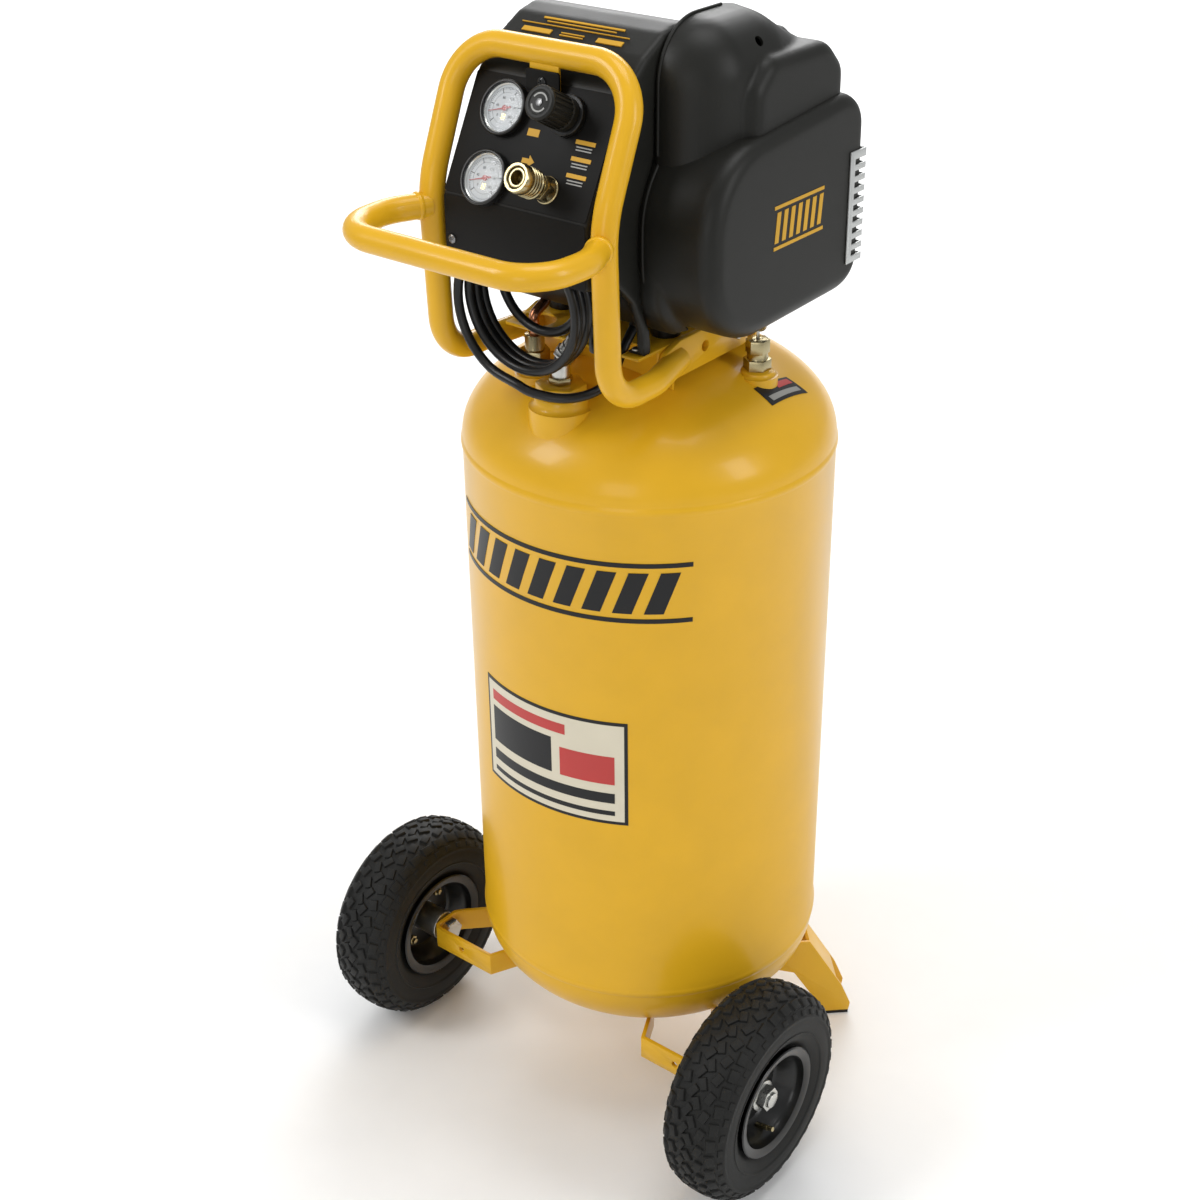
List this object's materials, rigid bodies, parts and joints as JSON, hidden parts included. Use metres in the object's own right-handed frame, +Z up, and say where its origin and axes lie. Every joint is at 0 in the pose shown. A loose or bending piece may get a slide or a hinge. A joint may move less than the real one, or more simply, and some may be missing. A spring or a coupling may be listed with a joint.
{
  "type": "portable air compressor",
  "caption": "Upright air tank on two pneumatic wheels and two rear legs, with a shrouded pump and motor, a leaning control panel, a push handle and a hanging power cord.",
  "frame": {"origin": "middle of the footprint of everything but the free cord, on the floor", "axes": "+Z up; +X along the wheels' axis, to the user's right when facing the panel; the user stands on the -Y side"},
  "size_m": [0.515, 0.4645, 1.11],
  "materials": {
    "yellow_paint": "gloss, warm yellow",
    "black_paint": "satin black",
    "black_plastic": "fine-grained near-black moulding",
    "tyre": "matte black rubber",
    "rubber": "matte black rubber",
    "zinc": "bright zinc plate",
    "dark_steel": "oiled steel",
    "brass": "turned brass",
    "copper": "drawn copper tube",
    "cast_aluminium": "as cast",
    "red_plastic": "moulded red"
  },
  "bodies": {
    "machine": {"tank_shell": "yellow_paint", "tank_top_head": "yellow_paint", "tank_bottom_head": "yellow_paint", "outlet_bushing": "yellow_paint", "axle_bracket_left": "yellow_paint", "axle_bracket_right": "yellow_paint", "rear_leg_left": "yellow_paint", "rear_leg_right": "yellow_paint", "pump_deck": "yellow_paint", "frame_tube": "yellow_paint", "handle_tube": "yellow_paint", "tank_gauge_case": "black_paint", "outlet_gauge_case": "black_paint", "regulator_body": "black_paint", "pressure_switch": "black_paint", "axle_bolt_left": "zinc", "axle_bolt_right": "zinc", "axle_nut_left": "zinc", "axle_nut_right": "zinc", "vent_grille": "zinc", "foot_pad_left": "rubber", "foot_pad_right": "rubber", "isolator_front_left": "rubber", "isolator_front_right": "rubber", "isolator_rear_left": "rubber", "isolator_rear_right": "rubber", "power_cord": "rubber", "cord_strain_relief": "rubber", "cord_plug": "rubber", "outlet_hose": "rubber", "console_cover": "black_plastic", "shroud_upper": "black_plastic", "shroud_lower": "black_plastic", "intake_filter": "black_plastic", "coupler_body": "brass", "check_valve": "brass", "safety_valve_body": "brass", "drain_valve_body": "brass", "discharge_tube": "copper", "motor_housing": "cast_aluminium", "crankcase": "cast_aluminium", "cylinder_barrel": "cast_aluminium", "cylinder_head": "cast_aluminium"},
    "wheel_left": {"tyre_left": "tyre", "rim_left": "black_paint", "hub_left": "zinc"},
    "wheel_right": {"tyre_right": "tyre", "rim_right": "black_paint", "hub_right": "zinc"},
    "rotor": {"motor_rotor": "dark_steel", "cooling_fan": "black_plastic", "eccentric": "dark_steel"},
    "piston": {"piston_rod": "cast_aluminium"},
    "tank_needle": {"tank_gauge_needle": "red_plastic"},
    "outlet_needle": {"outlet_gauge_needle": "red_plastic"},
    "knob": {"regulator_knob": "black_plastic"},
    "sleeve": {"coupler_sleeve": "brass"},
    "lever": {"switch_lever": "red_plastic"},
    "relief_stem": {"safety_valve_ring": "zinc"},
    "drain_lever": {"drain_valve_lever": "red_plastic"}
  },
  "joints": [
    {"name": "wheel_left_spin", "type": "hinge", "parent": "machine", "child": "wheel_left", "pos_m": [-0.222, -0.07125, 0.111], "axis": [1, 0, 0], "continuous": true},
    {"name": "wheel_right_spin", "type": "hinge", "parent": "machine", "child": "wheel_right", "pos_m": [0.222, -0.07125, 0.111], "axis": [1, 0, 0], "continuous": true},
    {"name": "rotor_spin", "type": "hinge", "parent": "machine", "child": "rotor", "pos_m": [0, 0.05575, 0.935], "axis": [1, 0, 0], "continuous": true},
    {"name": "piston_slide", "type": "slide", "parent": "machine", "child": "piston", "axis": [0, 0, 1], "range_m": [0, 0.02]},
    {"name": "tank_needle_turn", "type": "hinge", "parent": "machine", "child": "tank_needle", "pos_m": [-0.034, -0.09246, 1.04177], "axis": [0, -0.8829, 0.4695], "range_deg": [-270, 0], "stiffness_Nm_per_rad": 0.0005},
    {"name": "outlet_needle_turn", "type": "hinge", "parent": "machine", "child": "outlet_needle", "pos_m": [-0.034, -0.11969, 0.99056], "axis": [0, -0.8829, 0.4695], "range_deg": [-270, 0], "stiffness_Nm_per_rad": 0.0005},
    {"name": "regulator_turn", "type": "hinge", "parent": "machine", "child": "knob", "pos_m": [0.031, -0.1093, 1.05526], "axis": [0, -0.8829, 0.4695], "range_deg": [-720, 720]},
    {"name": "coupler_pull", "type": "slide", "parent": "machine", "child": "sleeve", "axis": [0, -0.8829, 0.4695], "range_m": [-0.004, 0], "stiffness_N_per_m": 1500, "springref_m": 0.002},
    {"name": "switch_throw", "type": "hinge", "parent": "machine", "child": "lever", "pos_m": [-0.078, -0.05025, 1.028], "axis": [1, 0, 0], "range_deg": [0, 40]},
    {"name": "safety_ring_pull", "type": "slide", "parent": "machine", "child": "relief_stem", "axis": [0, 0, 1], "range_m": [0, 0.004], "stiffness_N_per_m": 1000, "springref_m": -0.002},
    {"name": "drain_turn", "type": "hinge", "parent": "machine", "child": "drain_lever", "pos_m": [0, 0.03775, 0.054], "axis": [0, 1, 0], "range_deg": [0, 90]}
  ]
}
